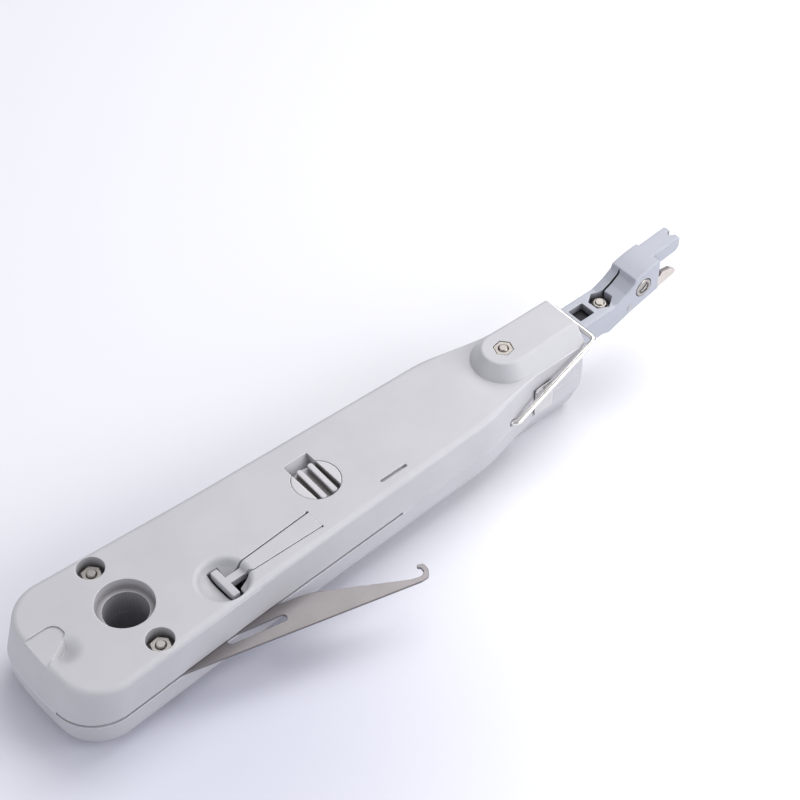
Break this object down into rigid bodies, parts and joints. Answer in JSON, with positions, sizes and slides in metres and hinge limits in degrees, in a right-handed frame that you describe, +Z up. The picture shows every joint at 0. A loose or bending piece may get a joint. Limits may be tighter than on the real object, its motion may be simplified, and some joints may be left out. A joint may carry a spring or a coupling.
{
  "type": "punch down tool",
  "caption": "Slim two-shell hand tool with a sprung insertion head and wire cutter, a swing-out wire hook and module blade, a spring tab and a wire latch.",
  "frame": {"origin": "on the axis of the hang hole, in the parting plane between the two shells", "axes": "+X forward to the insertion fork, +Z up through the face with the nuts, +Y to the side away from the wire hook"},
  "size_m": [0.1787, 0.0462, 0.0271],
  "materials": {
    "handle_plastic": "fine moulded texture, satin",
    "head_plastic": "smooth moulded, satin",
    "lock_plastic": "smooth moulded, satin",
    "hook_steel": "stamped sheet, brushed",
    "blade_steel": "ground",
    "screw_steel": "nickel plated",
    "nut_steel": "nickel plated",
    "spring_steel": "drawn wire",
    "latch_wire": "polished drawn wire"
  },
  "bodies": {
    "handle": {"upper_shell": "handle_plastic", "lower_shell": "handle_plastic", "rear_screws": "screw_steel", "rear_nuts": "nut_steel", "front_screw": "screw_steel", "front_nut": "nut_steel", "hook_bush": "nut_steel", "hook_spring": "spring_steel", "blade_washer": "nut_steel", "spring_seat": "nut_steel", "cutter_link": "blade_steel"},
    "tab": {"release_tab": "handle_plastic"},
    "hook": {"wire_hook": "hook_steel"},
    "blade": {"module_blade": "hook_steel", "blade_hub": "handle_plastic"},
    "ram": {"ram_bar": "blade_steel", "spring_guide": "nut_steel", "main_spring": "spring_steel", "head_nose": "head_plastic", "head_screw": "screw_steel", "head_nut": "nut_steel", "fixed_cutter": "blade_steel", "cutter_screw": "screw_steel", "cutter_nut": "nut_steel", "cutter_rivet": "nut_steel"},
    "cutter": {"moving_cutter": "blade_steel"},
    "latch": {"wire_latch": "latch_wire"},
    "lock": {"lock_slider": "lock_plastic"}
  },
  "joints": [
    {"name": "hook_swing", "type": "hinge", "parent": "handle", "child": "hook", "pos_m": [0, -0.01167, 0], "axis": [0, 0, 1], "range_deg": [-160, 17]},
    {"name": "tab_press", "type": "hinge", "parent": "handle", "child": "tab", "pos_m": [0.0421, -0.008, 0.0088], "axis": [0, -1, 0], "range_deg": [0, 3.5], "stiffness_Nm_per_rad": 0.4},
    {"name": "blade_swing", "type": "hinge", "parent": "handle", "child": "blade", "pos_m": [0.0491, 0, 0], "axis": [0, 0, -1], "range_deg": [0, 100]},
    {"name": "latch_lift", "type": "hinge", "parent": "handle", "child": "latch", "pos_m": [0.0956, 0, 0.0015], "axis": [0, -1, 0], "range_deg": [0, 70]},
    {"name": "lock_slide", "type": "slide", "parent": "handle", "child": "lock", "axis": [1, 0, 0], "range_m": [0, 0.0015]},
    {"name": "head_slide", "type": "slide", "parent": "handle", "child": "ram", "axis": [-1, 0, 0], "range_m": [0, 0.006], "stiffness_N_per_m": 1500, "springref_m": -0.003, "deforming": ["main_spring"]},
    {"name": "cutter_close", "type": "hinge", "parent": "ram", "child": "cutter", "pos_m": [0.1421, 0, 0.008], "axis": [0, -1, 0], "range_deg": [0, 9]}
  ],
  "couplings": [
    {"joint": "cutter_close", "follows": "head_slide", "rad_per_m": 26.1}
  ]
}
